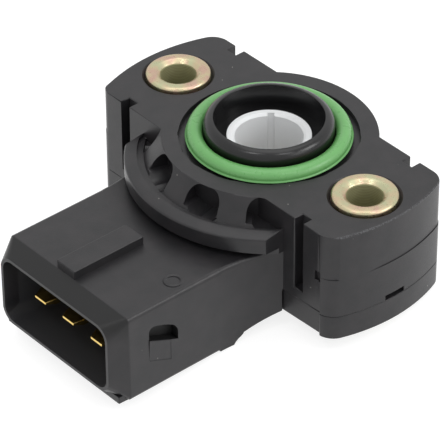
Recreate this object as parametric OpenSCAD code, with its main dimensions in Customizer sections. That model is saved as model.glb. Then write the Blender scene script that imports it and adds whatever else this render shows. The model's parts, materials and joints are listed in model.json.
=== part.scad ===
// Throttle position sensor with a three-way blade connector and two metal fixing bushes.
// Millimetres. The origin is on the rotor's axis, in the plane of the mounting face.
// +Z points out of the mounting face, towards the throttle shaft that the rotor takes.
// +X runs along the line of the two fixing holes and -Y points to the connector.
// All heights below the mounting face are written as positive depths.

/* [Fixing ears] */
// Distance between the centres of the two fixing holes
fix_pitch = 32.3; // [31.5:0.1:33.5]
// Radius of the screw hole in a metal bush
bush_hole_r = 2.1; // [1.7:0.05:2.5]
// Outer radius of a metal bush
bush_r = 3.88; // [3.3:0.02:4.2]
// How far a bush stands proud of the mounting face
bush_proud = 0.45; // [0.1:0.05:0.6]
// Chamfer on the outer edges of a bush
bush_chamfer = 0.35; // [0.1:0.05:0.6]
// Width of the shallow countersink at both ends of a bush's hole
sink_w = 0.6; // [0.3:0.05:0.9]
// Depth of that countersink
sink_deep = 0.4; // [0.2:0.05:0.6]
// Width of the bevel round a bush in the mounting face
bush_relief = 0.4; // [0.2:0.05:0.5]
// Least wall of plastic round a bush
eye_wall = 1.2; // [0.8:0.1:1.2]
// Radius of the round ear ends, measured from the rotor axis
ear_end_r = 21.5; // [21.2:0.1:24]
// Depth of the ears behind the line of the holes
ear_back = 9.1; // [8.4:0.1:10]
// Depth of the ears in front of the line of the holes
ear_front = 8.7; // [8.2:0.1:9.6]
// Radius of the corners between an ear's end and its long sides
ear_corner_r = 2.4; // [1:0.1:4]
// Small step of the ear ends at the upper mould seam
seam_step = 0.09; // [0.05:0.01:0.3]
// Depth of the upper mould seam below the mounting face
seam_depth = 5.9; // [5:0.1:7]
// Width of the square slots in the long sides of the ears
notch_w = 1.5; // [1:0.1:2]
// Depth of those slots into the ear
notch_deep = 1.3; // [0.6:0.1:1.6]
// Length of those slots down from the mounting face
notch_len = 9.7; // [6:0.1:10.5]
// Distance of the left pair of slots from the rotor axis
notch_x_left = 15.5; // [14.6:0.1:16.2]
// Distance of the right pair of slots from the rotor axis
notch_x_right = 14.8; // [14.4:0.1:16.2]
// Width of the prying notch at the joint line in the end of an ear
pry_w = 2.8; // [1.6:0.1:4]
// Height of the prying notch above the joint line
pry_h = 0.65; // [0.4:0.05:1]
// Depth of the prying notch into the ear
pry_deep = 0.6; // [0.3:0.05:0.9]
// Width of the small nick beside the corner of the right ear
nick_w = 0.9; // [0.5:0.1:1.2]
// Height of the nick, half of it on each side of the mould seam
nick_h = 1.3; // [0.8:0.1:2]
// Depth of the nick
nick_deep = 0.35; // [0.2:0.05:0.6]

/* [Body] */
// Height of the body from the mounting face to the outside of the rear cover
body_h = 14.2; // [14:0.1:15]
// Thickness of the rear cover at its edge
cover_t = 3.1; // [2.9:0.05:3.2]
// Radius of the round body at the back
disc_r = 12.7; // [12.4:0.1:13.4]
// Radius of the mounting face at the top of the sloping front wall
cone_top_r = 12.45; // [12.2:0.05:12.6]
// Radius of the foot of the sloping front wall, in the gutter
cone_foot_r = 14.5; // [14.2:0.05:14.8]
// Width of the gutter between the sloping wall and the ring
gutter_w = 0.5; // [0.3:0.05:0.7]
// Depth of the gutter below the ledge
gutter_deep = 0.35; // [0.2:0.05:0.6]
// Depth of the ledge at the foot of the sloping wall
ledge_depth = 2.45; // [2.3:0.05:2.7]
// Outer radius of the ring in front
ring_r = 16.8; // [16.5:0.1:17]
// Radius of the round upper edge of the ring
ring_round = 1.1; // [0.6:0.05:1.3]
// Depth of the ring's underside below the mounting face
ring_bottom = 4.85; // [4.6:0.05:5]
// Radius of the foot under the ring
ring_foot_r = 15.5; // [15.2:0.1:16]
// Half the width over which the ring shows between the ears
ring_half_w = 12.3; // [11.8:0.1:13]
// Number of hollows in the sloping wall
hollow_n = 4; // [2:1:4]
// Angle from one hollow to the next, degrees
hollow_pitch = 32.4; // [30:0.1:34]
// Width of a hollow
hollow_w = 4.4; // [3:0.1:5.4]
// Radius from the rotor axis to the back of a hollow
hollow_back_r = 11.75; // [11.6:0.05:12]
// Thickness of the mounting face above a hollow
hollow_roof = 0.2; // [0.2:0.05:0.6]
// Depth of a hollow's floor below the mounting face
hollow_floor = 2.3; // [2:0.05:2.4]
// Radius of the upper corners of a hollow
hollow_corner_r = 1.5; // [0.6:0.1:1.5]

/* [Collar and seal] */
// Outer radius of the locating collar
collar_r = 7.6; // [7.4:0.02:7.8]
// Bore radius of the locating collar
collar_bore_r = 6.53; // [6.2:0.01:6.8]
// Height of the collar above the mounting face
collar_h = 2.45; // [2.1:0.01:3]
// Radius of the round outer edge of the collar's rim
collar_round = 0.75; // [0.3:0.05:0.8]
// Depth of the shelf inside the collar
shelf_depth = 0.75; // [0.5:0.05:1]
// Outer radius of the seal groove
groove_r = 10.5; // [10.2:0.05:10.8]
// Depth of the seal groove
groove_depth = 0.72; // [0.6:0.01:1.1]
// Section radius of the sealing ring
seal_section_r = 0.9; // [0.85:0.01:1.1]
// Free space between the sealing ring and the collar and groove floor
seal_gap = 0.05; // [0.02:0.01:0.1]

/* [Rotor] */
// Outer radius of the rotor's hub
hub_r = 4.94; // [4.8:0.02:5.2]
// Radius of the round bore that takes the throttle shaft
hub_bore_r = 4.0; // [3.6:0.02:4.2]
// Depth of the hub's upper rim below the mounting face
hub_drop = 0.07; // [0.05:0.01:0.3]
// Length of the round part of the shaft bore
round_len = 5.5; // [4:0.1:6]
// Full depth of the shaft bore
bore_len = 8.4; // [7.6:0.1:8.5]
// Radius of the narrower lower bore that takes the flatted shaft end
drive_bore_r = 3.7; // [3.4:0.05:3.8]
// Distance of the drive flat from the rotor axis
drive_flat = 2.9; // [2.4:0.1:3.3]
// Width of the key groove in the shaft bore
key_w = 0.8; // [0.5:0.05:1]
// Depth of the key groove
key_deep = 0.3; // [0.1:0.05:0.4]
// Direction of the key groove at rest, degrees from +X
key_angle = 135.6; // [100:0.1:170]
// Thickness of the rotor's flange
flange_t = 1.2; // [0.9:0.05:1.4]
// Radius of the rotor's flange
flange_r = 7.6; // [7:0.1:8]
// Radius of the pin that carries the rotor in the rear cover
pivot_r = 2.0; // [1.6:0.05:2.2]
// Travel of the rotor between its stops, degrees
travel = 95; // [80:1:110]
// Angle that the stop lug spans, degrees
lug_span = 16; // [10:1:24]
// Angle that each stop in the housing spans, degrees
stop_span = 14; // [10:1:20]
// Reach of the stop lug from the rotor axis
lug_r = 9.6; // [9:0.1:9.9]
// Free angle between the lug and its stop at each end of the travel, degrees
stop_free = 1.5; // [1:0.1:3]
// Direction of the stop lug at rest, degrees from +X
lug_angle = 20; // [0:1:60]
// Running clearance on the radius of the hub and its pin
run_gap = 0.05; // [0.02:0.01:0.09]
// Axial clearance between stacked parts
stack_gap = 0.05; // [0.03:0.01:0.08]
// Thickness of the thrust washer under the housing roof
washer_t = 0.3; // [0.2:0.05:0.4]

/* [Spring and contacts] */
// Thickness of the return spring's strip
strip_t = 0.25; // [0.15:0.05:0.35]
// Width of the return spring's strip
strip_w = 2.0; // [1.4:0.1:2.2]
// Thickness of the spring washer's strip
washer_strip_t = 0.15; // [0.1:0.01:0.2]
// Number of turns of the return spring
spring_turns = 4; // [3:1:5]
// Thickness of the contact carrier
carrier_t = 1.1; // [0.8:0.1:1.2]
// Radius of the contact carrier
carrier_r = 8.5; // [8.3:0.1:8.6]
// Angle that the contact carrier spans, degrees
carrier_span = 70; // [50:5:90]
// Thickness of the contact fingers
finger_t = 0.12; // [0.08:0.02:0.16]
// Width of one contact finger
finger_w = 0.35; // [0.25:0.05:0.4]
// Middle radius of the resistive track
track_r = 7.5; // [7.3:0.05:7.6]
// Middle radius of the collector track
collector_r = 5.7; // [5.5:0.05:5.9]
// Width of the tracks on the board
track_w = 1.4; // [1.2:0.05:1.5]
// Angle by which the tracks run past the fingers' travel at each end, degrees
track_over = 30; // [20:1:35]
// Angle by which the fingers' tips run ahead of the carrier's middle, degrees
finger_lead = 20; // [15:1:25]
// Thickness of the printed tracks
track_t = 0.04; // [0.02:0.01:0.06]
// Thickness of the track board
board_t = 0.8; // [0.6:0.05:0.85]
// Depth of the track board's upper face below the mounting face
board_depth = 9.6; // [9.5:0.05:9.7]

/* [Connector] */
// Width of the connector housing
con_w = 20.9; // [20.4:0.1:21.6]
// Depth of the connector's upper side below the mounting face
con_top = 5.5; // [5.2:0.05:5.7]
// Depth of the connector's underside below the mounting face
con_bottom = 17.13; // [16.8:0.01:17.6]
// Distance from the rotor axis to the start of the front bevel
con_front = 29.8; // [29.4:0.1:31]
// Radius of the connector's long edges
con_edge_r = 0.6; // [0.3:0.05:0.9]
// Reach of the tapered rim in front of the housing
rim_reach = 2.35; // [1.8:0.05:2.8]
// Inset of the tapered rim at its sides
rim_in_side = 0.92; // [0.6:0.02:1.1]
// Inset of the tapered rim at its top
rim_in_top = 1.0; // [0.7:0.05:1.1]
// Inset of the tapered rim at its bottom
rim_in_bottom = 1.38; // [1:0.02:1.5]
// Corner radius of the tapered rim
rim_corner_r = 2.0; // [1.2:0.1:2.4]
// Thickness of the rim's edge
rim_edge = 0.42; // [0.3:0.02:0.6]
// Width of the socket
socket_w = 17.2; // [16.8:0.1:17.4]
// Depth of the socket's roof below the mounting face
socket_top = 7.05; // [6.9:0.05:7.2]
// Depth of the socket's floor below the mounting face
socket_bottom = 15.2; // [15:0.05:15.4]
// Corner radius of the socket
socket_corner_r = 1.3; // [0.6:0.1:1.6]
// Distance from the rotor axis to the back wall of the socket
socket_back = 18.6; // [18:0.1:19.5]
// Reach of the lip under the rim in front of the housing
lip_reach = 1.35; // [0.8:0.05:1.6]
// Inset of that lip from the side of the housing
lip_inset = 0.45; // [0.2:0.05:0.8]
// Width of the locking rail on top
rail_w = 3.1; // [2:0.1:4]
// Offset of the locking rail from the middle
rail_x = -0.55; // [-2:0.05:2]
// Height of the locking rail
rail_h = 1.1; // [0.6:0.05:1.6]
// Length of the locking rail
rail_len = 10.05; // [6:0.05:11]
// Depth of the clip recess into each side wall
clip_deep = 1.2; // [0.6:0.05:1.4]
// Depth of the shallow flat under the clip recess
clip_flat_deep = 0.25; // [0.1:0.05:0.5]
// Distance from the rotor axis to the near end of the clip recess
clip_y = 22.8; // [21:0.1:24]
// Width of the clip recess along the connector
clip_w = 4.2; // [3:0.1:5]
// Depth of the clip recess's upper edge below the mounting face
clip_top = 9.3; // [8.6:0.1:10]
// Height of the clip recess
clip_h = 2.1; // [1.5:0.1:2.6]
// Height of the shallow flat under the clip recess
clip_flat_h = 2.8; // [1.5:0.1:3]
// Distance from the rotor axis to the start of the neck's flare
flare_start = 16.5; // [16:0.1:17]
// Radius of the neck's flare in plan
flare_r = 18; // [17:0.5:24]
// Distance from the rotor axis to the rear end of the full underside
heel_y = 14.7; // [14.2:0.1:15.5]
// Length of the slanted heel
heel_len = 1.4; // [0.8:0.1:2]
// Rise of the slanted heel
heel_rise = 1.28; // [0.8:0.02:1.6]

/* [Terminals] */
// Spacing of the blades
pin_pitch = 5.0; // [4.8:0.05:5.1]
// Width of a blade
blade_w = 2.8; // [2.4:0.1:3]
// Thickness of a blade
blade_t = 0.8; // [0.6:0.05:0.9]
// Depth of the blades' middle plane below the mounting face
blade_depth = 11.65; // [11.4:0.05:11.7]
// Distance from the rotor axis to the blade tips
blade_tip = 30.2; // [28:0.1:30.8]
// Length of the tapered tip
taper_len = 1.2; // [0.8:0.1:2]
// Width left at the tip
tip_w = 1.9; // [1.4:0.1:2.2]
// Thickness left at the tip
tip_t = 0.3; // [0.2:0.05:0.5]
// Distance from the rotor axis to the far end of a blade's step up to the board
crank_y = 14.6; // [13.8:0.1:15.5]
// Radius from the rotor axis to the soldered studs
stud_ring_r = 9.55; // [9.5:0.05:9.6]
// Radius of a soldered stud
stud_r = 0.55; // [0.4:0.05:0.6]
// Clearance round moulded-in and seated parts
seat_gap = 0.02; // [0.01:0.01:0.04]

/* [Hidden] */
$fn = 96;
slice_fn = 32;
cut_over = 0.5;
joint_depth = body_h - cover_t;
roof_depth = 2.6;
cavity_r = 11.0;
shoulder_r = 10.3;
board_r = cavity_r - 0.1;
pivot_hole_r = 3.2;
boss_r = 2.95;
flange_top = roof_depth + washer_t + 2 * stack_gap;
flange_bottom = flange_top + flange_t;
spring_top = flange_bottom + 0.25;
carrier_top = spring_top + strip_w + 0.3;
carrier_bottom = carrier_top + carrier_t;
hub_bottom = hub_drop + bore_len + 0.6;
carrier_seat_r = hub_r - 0.15;
carrier_angle = 200;
pivot_seat = 1.5;
leg_end = 10.2;
leg_depth = board_depth + board_t + stack_gap + blade_t / 2;
finger_drop = board_depth - track_t - carrier_bottom - 0.03;
spring_in_r = hub_r + 0.35;
spring_out_r = shoulder_r - 1.0;
spring_post_r = 0.45;
pin_x = [-pin_pitch, 0, pin_pitch];
rim_break = 0.12;
bead_r = (cavity_r + disc_r) / 2;
bead_w = 0.5;
bead_d = 0.35;
ring_root = con_top + 0.1;
ring_break = 0.2;
round_steps = 6;
spigot_top = board_depth + board_t + seat_gap;
spigot_root = max(joint_depth, spigot_top) + 0.1;
boss_top = board_depth + board_t - 0.4;
slot_end = leg_end - 2 * blade_t;
tab_w = 3.2 * stud_r;
dish_r = cavity_r - 1.2;
dish_d = 0.5;

// Shapes shared by several parts

module rounded(w, h, r) {
    square([w - 2 * r, h], center = true);
    square([w, h - 2 * r], center = true);
    for (sx = [-1, 1], sy = [-1, 1])
        translate([sx * (w / 2 - r), sy * (h / 2 - r)])
            circle(r = r);
}

// Points of a quarter round in a turned outline, from its top to its side
function quarter(r, z, round) = [for (i = [0 : round_steps]) let (a = 90 - 90 * i / round_steps)
                                 [r - round * (1 - cos(a)), z - round * (1 - sin(a))]];

// A drawing in X and Z, pushed towards the connector from one distance to another
module push_front(near, far) {
    translate([0, -near, 0])
        rotate([90, 0, 0])
            linear_extrude(height = far - near)
                children();
}

// A drawing in Y and Z, pushed along X across the middle
module push_across(w) {
    translate([-w / 2, 0, 0])
        rotate([90, 0, 90])
            linear_extrude(height = w)
                children();
}

// A drawing in X and Y, between two depths below the mounting face
module between(top, bottom) {
    translate([0, 0, -bottom])
        linear_extrude(height = bottom - top)
            children();
}

module tube(outer_r, inner_r, top, bottom) {
    difference() {
        between(top, bottom) circle(r = outer_r);
        between(top - cut_over, bottom + cut_over) circle(r = inner_r);
    }
}

// Sector of a ring, its middle at the angle given
module sector(inner_r, outer_r, mid, span) {
    a = mid - span / 2;
    b = mid + span / 2;
    reach = 2 * outer_r;
    difference() {
        intersection() {
            circle(r = outer_r);
            polygon([[0, 0], reach * [cos(a), sin(a)], reach * [cos(mid), sin(mid)],
                     reach * [cos(b), sin(b)]]);
        }
        circle(r = inner_r);
    }
}

// Plan of the ears: straight long sides, round ends about the rotor axis, round corners, and at
// least a wall's width of plastic round each bush
module ear_plan(end_r) {
    far = end_r - ear_corner_r;
    xb = sqrt(pow(far, 2) - pow(ear_back - ear_corner_r, 2));
    xf = sqrt(pow(far, 2) - pow(ear_front - ear_corner_r, 2));
    translate([-xb, 0])
        square([2 * xb, ear_back]);
    translate([-xf, -ear_front])
        square([2 * xf, ear_front]);
    for (s = [-1, 1]) {
        translate([s * xb, ear_back - ear_corner_r])
            circle(r = ear_corner_r);
        translate([s * xf, ear_corner_r - ear_front])
            circle(r = ear_corner_r);
        intersection() {
            circle(r = end_r);
            polygon([[0, 0], 2 * [s * xb, ear_back - ear_corner_r],
                     2 * [s * xf, ear_corner_r - ear_front]]);
        }
        translate([s * fix_pitch / 2, 0])
            circle(r = bush_r + eye_wall);
    }
}

// Slots in the long sides of both ears, drawn as seen from above
module notch_plan() {
    for (x = [-notch_x_left, notch_x_right]) {
        translate([x - notch_w / 2, ear_back - notch_deep])
            square([notch_w, notch_deep + 1]);
        translate([x - notch_w / 2, -ear_front - 1])
            square([notch_w, notch_deep + 1]);
    }
}

module fixing_points() {
    for (s = [-1, 1])
        translate([s * fix_pitch / 2, 0, 0])
            children();
}

// Housing

module disc_plan() {
    intersection() {
        circle(r = disc_r);
        translate([-disc_r, -ear_front])
            square([2 * disc_r, ear_front + disc_r]);
    }
}

module ears() {
    between(0, seam_depth)
        ear_plan(ear_end_r - seam_step);
    between(seam_depth, joint_depth)
        ear_plan(ear_end_r);
    between(0, joint_depth)
        disc_plan();
}

// Sloping wall, gutter and round-edged ring that stands out over its foot, as one turned shape
module ring_front() {
    gutter_z = -ledge_depth - gutter_deep;
    intersection() {
        rotate_extrude()
            polygon(concat([[0, 0], [cone_top_r, 0], [cone_foot_r, gutter_z],
                            [cone_foot_r + gutter_w, gutter_z],
                            [cone_foot_r + gutter_w, -ledge_depth]],
                           quarter(ring_r, -ledge_depth, ring_round),
                           [[ring_r, ring_break - ring_bottom], [ring_r - ring_break, -ring_bottom],
                            [ring_foot_r, -ring_bottom], [ring_foot_r, -ring_root],
                            [0, -ring_root]]));
        translate([-ring_half_w, -2 * ring_r, -2 * con_top])
            cube([2 * ring_half_w, 2 * ring_r, 3 * con_top]);
    }
}

module neck_plan() {
    difference() {
        translate([-ring_half_w, -flare_start])
            square([2 * ring_half_w, flare_start - ear_front + 1]);
        for (s = [-1, 1])
            translate([s * (con_w / 2 + flare_r), -flare_start])
                circle(r = flare_r);
    }
}

module neck() {
    intersection() {
        between(con_top, con_bottom)
            neck_plan();
        push_across(2 * ring_half_w)
            polygon([[-flare_start - 1, -con_top], [1 - ear_front, -con_top],
                     [1 - ear_front, -body_h], [-ear_front, -body_h],
                     [heel_len - heel_y, heel_rise - con_bottom], [-heel_y, -con_bottom],
                     [-flare_start - 1, -con_bottom]]);
    }
}

module con_section(inset_side, inset_top, inset_bottom, r) {
    top = con_top + inset_top;
    bottom = con_bottom - inset_bottom;
    translate([0, -(top + bottom) / 2])
        rounded(con_w - 2 * inset_side, bottom - top, r);
}

module con_shell() {
    push_front(flare_start - 0.01, con_front)
        con_section(0, 0, 0, con_edge_r);
    hull() {
        push_front(con_front - 0.02, con_front)
            con_section(0, 0, 0, con_edge_r, $fn = slice_fn);
        push_front(con_front + rim_reach - 0.1, con_front + rim_reach)
            con_section(rim_in_side, rim_in_top, rim_in_bottom, rim_corner_r, $fn = slice_fn);
    }
    translate([lip_inset - con_w / 2, -con_front - lip_reach, -con_bottom])
        cube([con_w - 2 * lip_inset, lip_reach + 1, rim_in_bottom / 2]);
}

module locking_rail() {
    translate([rail_x - rail_w / 2, -con_front, -con_top - 0.2])
        cube([rail_w, rail_len, rail_h + 0.2]);
}

// Collar with its bore, the shelf inside it and the bearing bore for the hub, as one turned shape
module collar() {
    rotate_extrude()
        polygon(concat([[hub_r + run_gap, -roof_depth], [hub_r + run_gap, -shelf_depth],
                        [collar_bore_r, -shelf_depth], [collar_bore_r, collar_h - rim_break],
                        [collar_bore_r + rim_break, collar_h]],
                       quarter(collar_r, collar_h, collar_round), [[collar_r, -roof_depth]]));
}

module socket_section(grow, r) {
    h = socket_bottom - socket_top;
    translate([0, -(socket_top + socket_bottom) / 2])
        rounded(socket_w + 2 * grow, h, r);
}

module mouth_section() {
    con_section(rim_in_side + rim_edge, rim_in_top + rim_edge, rim_in_bottom + rim_edge,
                rim_corner_r - rim_edge);
}

module socket_space() {
    push_front(socket_back, con_front + 0.1)
        socket_section(0, socket_corner_r);
    hull() {
        push_front(con_front, con_front + 0.05)
            socket_section(0, socket_corner_r, $fn = slice_fn);
        push_front(con_front + rim_reach, con_front + rim_reach + 0.05)
            mouth_section($fn = slice_fn);
    }
}

// Window with round upper corners, its foot at the lower depth
module window(w, top, bottom, r) {
    translate([-w / 2, -bottom])
        square([w, bottom - top - r]);
    translate([r - w / 2, -bottom])
        square([w - 2 * r, bottom - top]);
    for (s = [-1, 1])
        translate([s * (w / 2 - r), -top - r])
            circle(r = r);
}

module hollows() {
    for (i = [0 : hollow_n - 1])
        rotate([0, 0, -90 + (i - (hollow_n - 1) / 2) * hollow_pitch])
            translate([hollow_back_r, 0, 0])
                rotate([90, 0, 90])
                    linear_extrude(height = cone_foot_r - hollow_back_r)
                        window(hollow_w, hollow_roof, hollow_floor, hollow_corner_r);
}

// Room for the bushes, with the bevel round each in the mounting face
module bush_seats() {
    seat_r = bush_r + seat_gap;
    fixing_points() {
        between(-1, body_h)
            circle(r = seat_r);
        rotate_extrude()
            polygon([[0, cut_over], [seat_r + bush_relief + cut_over, cut_over],
                     [seat_r, -bush_relief], [0, -bush_relief]]);
    }
}

// Prying notches at the joint line and the nick beside the right ear's corner
module ear_cuts() {
    for (s = [-1, 1])
        translate([s * (ear_end_r + (cut_over - pry_deep) / 2), 0, pry_h / 2 - joint_depth])
            cube([pry_deep + cut_over, pry_w, pry_h], center = true);
    translate([ear_end_r - 1.5 * ear_corner_r - nick_w / 2, -ear_front - cut_over,
               -seam_depth - nick_h / 2])
        cube([nick_w, nick_deep + cut_over, nick_h]);
}

module clip_recess() {
    translate([0, -clip_y - clip_w / 2, 0]) {
        push_side(clip_deep)
            window(clip_w, clip_top, clip_top + clip_h, clip_h / 2);
        push_side(clip_flat_deep)
            translate([-clip_w / 2, -clip_top - clip_h - clip_flat_h])
                square([clip_w * 0.75, clip_flat_h + 0.1]);
    }
}

// A drawing in Y and Z, cut to a depth into each side wall of the connector
module push_side(deep) {
    for (s = [-1, 1])
        translate([s * (con_w / 2 + (cut_over - deep) / 2), 0, 0])
            push_across(deep + cut_over)
                children();
}

// The step up of a terminal to the board, or with room round it the slot that it lies in
module terminal_run(grow, end) {
    translate([-blade_w / 2 - grow, -socket_back - cut_over, -blade_depth - blade_t / 2 - grow])
        cube([blade_w + 2 * grow, socket_back + cut_over - crank_y + blade_t + 2 * grow,
              blade_t + 2 * grow]);
    translate([-blade_w / 2 - grow, -crank_y - grow,
               -max(blade_depth, leg_depth) - blade_t / 2 - grow])
        cube([blade_w + 2 * grow, blade_t + 2 * grow,
              abs(blade_depth - leg_depth) + blade_t + 2 * grow]);
    translate([-blade_w / 2 - grow, -crank_y - grow, -leg_depth - blade_t / 2 - grow])
        cube([blade_w + 2 * grow, crank_y + 2 * grow - end, blade_t + 2 * grow]);
}

// Distance of a stud from the line of the fixing holes
function stud_y(x) = sqrt(pow(stud_ring_r, 2) - pow(x, 2));

// The slots that the three terminals lie in
module terminal_rooms(end) {
    for (x = pin_x)
        translate([x, 0, 0])
            terminal_run(seat_gap, end);
}

module inner_space() {
    between(roof_depth, joint_depth + cut_over)
        circle(r = shoulder_r);
    between(board_depth, joint_depth + cut_over)
        circle(r = cavity_r);
}

// Stops that the rotor's lug meets at the two ends of its travel
module stops() {
    low = lug_angle - lug_span / 2 - stop_free - stop_span / 2;
    high = lug_angle + travel + lug_span / 2 + stop_free + stop_span / 2;
    for (a = [low, high])
        between(roof_depth - 0.2, flange_bottom)
            sector(flange_r + 0.5, shoulder_r + 0.2, a, stop_span);
}

module spring_post() {
    rotate([0, 0, 360 * spring_turns])
        translate([spring_out_r + strip_t / 2 + spring_post_r + 0.1, 0, 0])
            between(roof_depth - 0.2, spring_top + strip_w)
                circle(r = spring_post_r);
}

module housing() {
    color([0.17, 0.17, 0.18])
        union() {
            difference() {
                union() {
                    ears();
                    difference() {
                        ring_front();
                        hollows();
                    }
                    neck();
                    con_shell();
                    locking_rail();
                }
                between(-1, groove_depth)
                    circle(r = groove_r);
                between(-cut_over, notch_len)
                    notch_plan();
                ear_cuts();
                bush_seats();
                inner_space();
                cover_seat();
                socket_space();
                clip_recess();
                terminal_rooms(slot_end);
                between(-1, roof_depth + 1)
                    circle(r = collar_r - 0.1);
            }
            collar();
            stops();
            spring_post();
        }
}

// The room that the rear cover takes inside the neck
module cover_seat() {
    between(joint_depth, con_bottom + 1)
        union() {
            intersection() {
                circle(r = disc_r + seat_gap);
                translate([-disc_r - 1, -disc_r - 1])
                    square([2 * disc_r + 2, disc_r + 2]);
            }
            translate([-ring_half_w - 1, -ear_front - seat_gap])
                square([2 * ring_half_w + 2, ear_front]);
        }
}

// Rear cover

module rear_cover() {
    color([0.14, 0.14, 0.15])
        difference() {
            union() {
                between(joint_depth, body_h)
                    union() {
                        ear_plan(ear_end_r);
                        circle(r = disc_r);
                    }
                difference() {
                    tube(cavity_r - 0.08, shoulder_r - 0.3, spigot_top, spigot_root);
                    translate([-pin_pitch - blade_w, -2 * cavity_r, -joint_depth])
                        cube([2 * (pin_pitch + blade_w), 2 * cavity_r, joint_depth]);
                }
                between(boss_top, spigot_root)
                    circle(r = boss_r);
            }
            tube(board_r + seat_gap, pivot_hole_r - seat_gap, board_depth, spigot_top);
            terminal_rooms(stud_y(pin_pitch) - tab_w / 2 - seat_gap);
            between(boss_top - cut_over, joint_depth + pivot_seat)
                circle(r = pivot_r + run_gap);
            fixing_points()
                between(joint_depth - 1, body_h + 1)
                    circle(r = bush_r + seat_gap);
            tube(bead_r + bead_w / 2, bead_r - bead_w / 2, joint_depth - 1,
                 joint_depth + bead_d + seat_gap);
            dish();
        }
}

// Shallow dish with spokes in the outside of the cover, as moulded covers have against sinking
module dish() {
    between(body_h - dish_d, body_h + 1)
        difference() {
            circle(r = dish_r);
            circle(r = pivot_hole_r + 1);
            for (a = [0 : 60 : 120])
                rotate([0, 0, a])
                    square([2 * dish_r + 2, 1.2], center = true);
        }
}

module cover_bead() {
    color([0.3, 0.3, 0.32])
        difference() {
            tube(bead_r + bead_w / 2 - seat_gap, bead_r - bead_w / 2 + seat_gap,
                 joint_depth + seat_gap, joint_depth + bead_d);
            terminal_rooms(slot_end);
        }
}

// Fixing bushes

module bush() {
    color([0.86, 0.76, 0.56])
        rotate_extrude()
            polygon([[bush_hole_r + sink_w, bush_proud],
                     [bush_r - bush_chamfer, bush_proud],
                     [bush_r, bush_proud - bush_chamfer],
                     [bush_r, bush_chamfer - body_h],
                     [bush_r - bush_chamfer, -body_h],
                     [bush_hole_r + sink_w, -body_h],
                     [bush_hole_r, sink_deep - body_h],
                     [bush_hole_r, bush_proud - sink_deep]]);
}

module bush_left() {
    translate([-fix_pitch / 2, 0, 0])
        bush();
}

module bush_right() {
    translate([fix_pitch / 2, 0, 0])
        bush();
}

// Sealing ring

module sealing_ring() {
    color([0.45, 0.7, 0.4])
        rotate_extrude()
            translate([collar_r + seal_gap + seal_section_r,
                       seal_section_r + seal_gap - groove_depth])
                circle(r = seal_section_r);
}

// Rotor and what turns with it

module rotor() {
    color([0.87, 0.89, 0.9])
        difference() {
            union() {
                between(hub_drop, hub_bottom)
                    circle(r = hub_r);
                between(flange_top, flange_bottom)
                    circle(r = flange_r);
                between(flange_top, flange_bottom)
                    sector(hub_r, lug_r, lug_angle, lug_span);
                between(hub_bottom - 0.1, joint_depth + pivot_seat - 0.2)
                    circle(r = pivot_r);
            }
            between(0, hub_drop + round_len)
                circle(r = hub_bore_r);
            between(0, hub_drop + bore_len)
                intersection() {
                    circle(r = drive_bore_r);
                    rotate([0, 0, key_angle])
                        translate([-drive_flat, -hub_r])
                            square([2 * hub_r, 2 * hub_r]);
                }
            between(0, hub_drop + round_len)
                rotate([0, 0, key_angle])
                    translate([0, -key_w / 2])
                        square([hub_bore_r + key_deep, key_w]);
            translate([0, 0, -hub_drop])
                rotate_extrude()
                    polygon([[0, 1], [hub_bore_r + 1.3, 1], [hub_bore_r - 0.05, -0.35],
                             [0, -0.35]]);
            between(carrier_top, hub_bottom + 0.05)
                difference() {
                    circle(r = hub_r + 1);
                    circle(r = carrier_seat_r);
                }
        }
}

module thrust_washer() {
    color([0.8, 0.78, 0.7])
        tube(flange_r - 0.3, hub_r + 0.15, roof_depth + stack_gap,
             roof_depth + stack_gap + washer_t);
}

// Dished washer that lifts the rotor off the cover's boss
module spring_washer() {
    top = hub_bottom + stack_gap;
    bottom = boss_top - stack_gap;
    t = washer_strip_t;
    color([0.7, 0.71, 0.72])
        rotate_extrude()
            polygon([[pivot_r + 0.2, -top], [pivot_r + 0.2, -top - t],
                     [boss_r - 0.1, -bottom], [boss_r - 0.1, t - bottom]]);
}

function spiral_r(a) = spring_in_r + (spring_out_r - spring_in_r) * a / (360 * spring_turns);

module return_spring() {
    steps = 36 * spring_turns;
    inner = [for (i = [0 : steps]) let (a = i * 360 * spring_turns / steps)
             (spiral_r(a) - strip_t / 2) * [cos(a), sin(a)]];
    outer = [for (i = [steps : -1 : 0]) let (a = i * 360 * spring_turns / steps)
             (spiral_r(a) + strip_t / 2) * [cos(a), sin(a)]];
    color([0.66, 0.67, 0.7])
        between(spring_top, spring_top + strip_w)
            polygon(concat(inner, outer));
}

module contact_carrier() {
    color([0.2, 0.2, 0.22])
        between(carrier_top + seat_gap, carrier_bottom)
            difference() {
                union() {
                    sector(seat_gap, carrier_r, carrier_angle, carrier_span);
                    circle(r = hub_r + 0.9);
                }
                circle(r = carrier_seat_r + seat_gap);
            }
}

// A comb of sprung fingers, side view bent down to the track, three fingers across
module finger_comb(r) {
    pitch = finger_w + 0.1;
    base_l = 1.6;
    reach_l = 3.0;
    rotate([0, 0, carrier_angle])
        translate([r, 0, -carrier_bottom]) {
            translate([-1.5 * pitch, -base_l / 2, -seat_gap - finger_t])
                cube([3 * pitch, base_l, finger_t]);
            for (i = [-1, 0, 1])
                translate([i * pitch - finger_w / 2, 0, 0])
                    rotate([90, 0, 90])
                        linear_extrude(height = finger_w)
                            polygon([[base_l / 2 - 0.05, -seat_gap],
                                     [base_l / 2 + 0.1, -seat_gap],
                                     [base_l / 2 + reach_l, finger_t - finger_drop],
                                     [base_l / 2 + reach_l + 0.5, finger_t - finger_drop + 0.25],
                                     [base_l / 2 + reach_l + 0.5, 0.25 - finger_drop],
                                     [base_l / 2 + reach_l, -finger_drop],
                                     [base_l / 2, -seat_gap - finger_t],
                                     [base_l / 2 - 0.05, -seat_gap - finger_t]]);
        }
}

module contact_outer() {
    color([0.85, 0.75, 0.45])
        finger_comb(track_r);
}

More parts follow.
